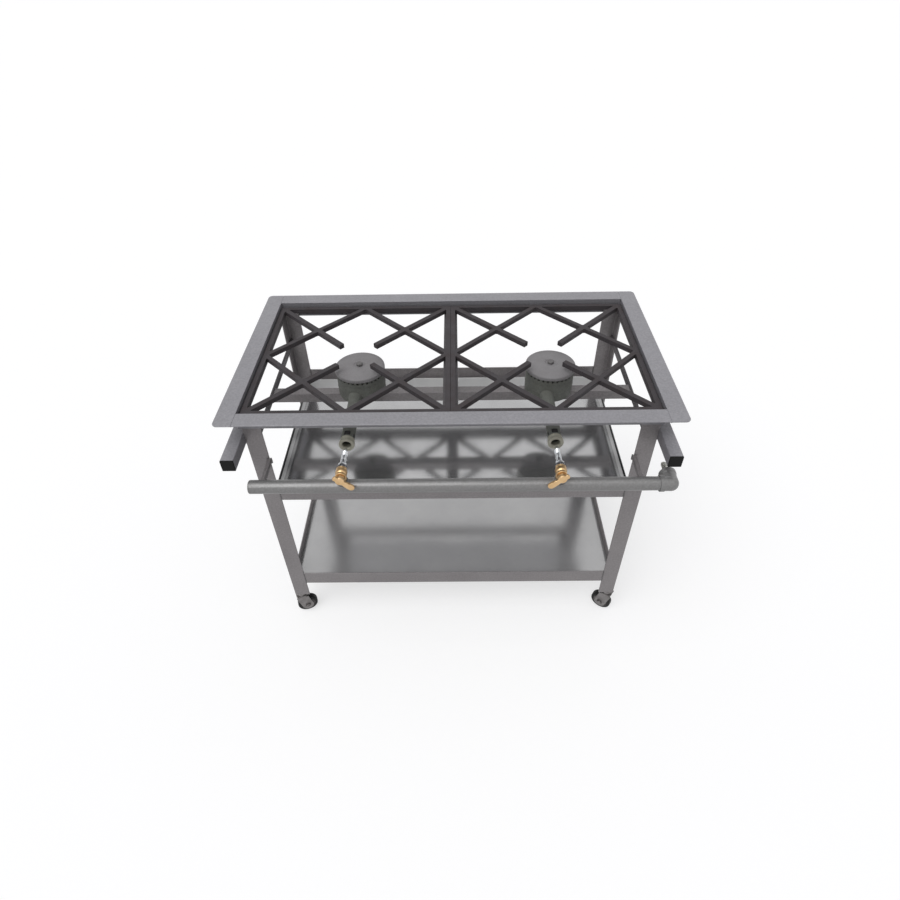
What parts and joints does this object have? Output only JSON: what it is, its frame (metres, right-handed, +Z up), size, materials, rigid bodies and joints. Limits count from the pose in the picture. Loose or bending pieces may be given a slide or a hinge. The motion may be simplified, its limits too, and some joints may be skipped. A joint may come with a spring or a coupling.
{
  "type": "stock pot range",
  "caption": "Open-stand gas stock pot range with square lift-out grates, round burners, a front gas pipe with valves, slide-out drip tray, lower shelf and swivel castors.",
  "frame": {"origin": "on the floor, at the centre of the whole range's outline seen from above", "axes": "+X to the right as seen from the front, +Y to the back, +Z up"},
  "size_m": [0.874, 0.5544, 0.665],
  "materials": {
    "frame_paint": "hammered satin",
    "grate_iron": "rough",
    "burner_iron": "rough, painted",
    "bolt_steel": "dull",
    "brass": "satin",
    "chrome": "polished",
    "sheet_steel": "galvanised, glossy",
    "black_plastic": "matt",
    "castor_steel": "zinc plated",
    "wheel_plastic": "matt"
  },
  "bodies": {
    "stand": {"top_rail_front": "frame_paint", "top_rail_back": "frame_paint", "top_rail_left": "frame_paint", "top_rail_right": "frame_paint", "leg_front_left": "frame_paint", "leg_front_right": "frame_paint", "leg_back_left": "frame_paint", "leg_back_right": "frame_paint", "grate_ledge_front": "frame_paint", "grate_ledge_back": "frame_paint", "grate_ledge_left": "frame_paint", "grate_ledge_right": "frame_paint", "grate_centre_bar": "frame_paint", "burner_rail_left": "frame_paint", "burner_rail_right": "frame_paint", "burner_cross_bar": "frame_paint", "gas_pipe": "frame_paint", "gas_pipe_plug": "frame_paint", "inlet_elbow": "frame_paint", "pipe_bracket_left": "frame_paint", "pipe_bracket_right": "frame_paint", "arm_left": "frame_paint", "arm_right": "frame_paint", "tray_rail_front": "frame_paint", "tray_rail_back": "frame_paint", "tray_runner_left": "frame_paint", "tray_runner_right": "frame_paint", "shelf_rail_front": "frame_paint", "shelf_rail_back": "frame_paint", "shelf_rail_left": "frame_paint", "shelf_rail_right": "frame_paint", "burner_body_left": "burner_iron", "burner_body_right": "burner_iron", "burner_cap_left": "burner_iron", "burner_cap_right": "burner_iron", "burner_bolt_left": "bolt_steel", "burner_bolt_right": "bolt_steel", "hose_spigot": "bolt_steel", "gas_valve_left": "brass", "gas_valve_right": "brass", "gas_jet_left": "chrome", "gas_jet_right": "chrome", "lower_shelf": "sheet_steel", "arm_end_caps": "black_plastic", "castor_mounts": "castor_steel"},
    "drip_tray": {"drip_tray": "sheet_steel"},
    "grate_left": {"grate_left": "grate_iron"},
    "grate_right": {"grate_right": "grate_iron"},
    "valve_handle_left": {"valve_handle_left": "brass"},
    "valve_handle_right": {"valve_handle_right": "brass"},
    "castor_fork_front_left": {"castor_fork_front_left": "castor_steel"},
    "castor_fork_front_right": {"castor_fork_front_right": "castor_steel"},
    "castor_fork_back_left": {"castor_fork_back_left": "castor_steel"},
    "castor_fork_back_right": {"castor_fork_back_right": "castor_steel"},
    "castor_wheel_front_left": {"castor_wheel_front_left": "wheel_plastic"},
    "castor_wheel_front_right": {"castor_wheel_front_right": "wheel_plastic"},
    "castor_wheel_back_left": {"castor_wheel_back_left": "wheel_plastic"},
    "castor_wheel_back_right": {"castor_wheel_back_right": "wheel_plastic"}
  },
  "joints": [
    {"name": "tray_slide", "type": "slide", "parent": "stand", "child": "drip_tray", "axis": [0, -1, 0], "range_m": [0, 0.3]},
    {"name": "grate_lift_left", "type": "slide", "parent": "stand", "child": "grate_left", "axis": [0, 0, 1], "range_m": [0, 0.15]},
    {"name": "grate_lift_right", "type": "slide", "parent": "stand", "child": "grate_right", "axis": [0, 0, 1], "range_m": [0, 0.15]},
    {"name": "valve_turn_left", "type": "hinge", "parent": "stand", "child": "valve_handle_left", "pos_m": [-0.203, -0.27285, 0.586], "axis": [0, -1, 0], "range_deg": [0, 90]},
    {"name": "valve_turn_right", "type": "hinge", "parent": "stand", "child": "valve_handle_right", "pos_m": [0.203, -0.27285, 0.586], "axis": [0, -1, 0], "range_deg": [0, 90]},
    {"name": "castor_swivel_front_left", "type": "hinge", "parent": "stand", "child": "castor_fork_front_left", "pos_m": [-0.388, -0.15985, 0.064], "axis": [0, 0, 1], "continuous": true},
    {"name": "wheel_turn_front_left", "type": "hinge", "parent": "castor_fork_front_left", "child": "castor_wheel_front_left", "pos_m": [-0.37954, -0.15677, 0.025], "axis": [-0.342, 0.9397, 0], "continuous": true},
    {"name": "castor_swivel_front_right", "type": "hinge", "parent": "stand", "child": "castor_fork_front_right", "pos_m": [0.388, -0.15985, 0.064], "axis": [0, 0, 1], "continuous": true},
    {"name": "wheel_turn_front_right", "type": "hinge", "parent": "castor_fork_front_right", "child": "castor_wheel_front_right", "pos_m": [0.38063, -0.15469, 0.025], "axis": [-0.5736, -0.8192, 0], "continuous": true},
    {"name": "castor_swivel_back_left", "type": "hinge", "parent": "stand", "child": "castor_fork_back_left", "pos_m": [-0.388, 0.22815, 0.064], "axis": [0, 0, 1], "continuous": true},
    {"name": "wheel_turn_back_left", "type": "hinge", "parent": "castor_fork_back_left", "child": "castor_wheel_back_left", "pos_m": [-0.37954, 0.23123, 0.025], "axis": [-0.342, 0.9397, 0], "continuous": true},
    {"name": "castor_swivel_back_right", "type": "hinge", "parent": "stand", "child": "castor_fork_back_right", "pos_m": [0.388, 0.22815, 0.064], "axis": [0, 0, 1], "continuous": true},
    {"name": "wheel_turn_back_right", "type": "hinge", "parent": "castor_fork_back_right", "child": "castor_wheel_back_right", "pos_m": [0.37954, 0.23123, 0.025], "axis": [-0.342, -0.9397, 0], "continuous": true}
  ]
}
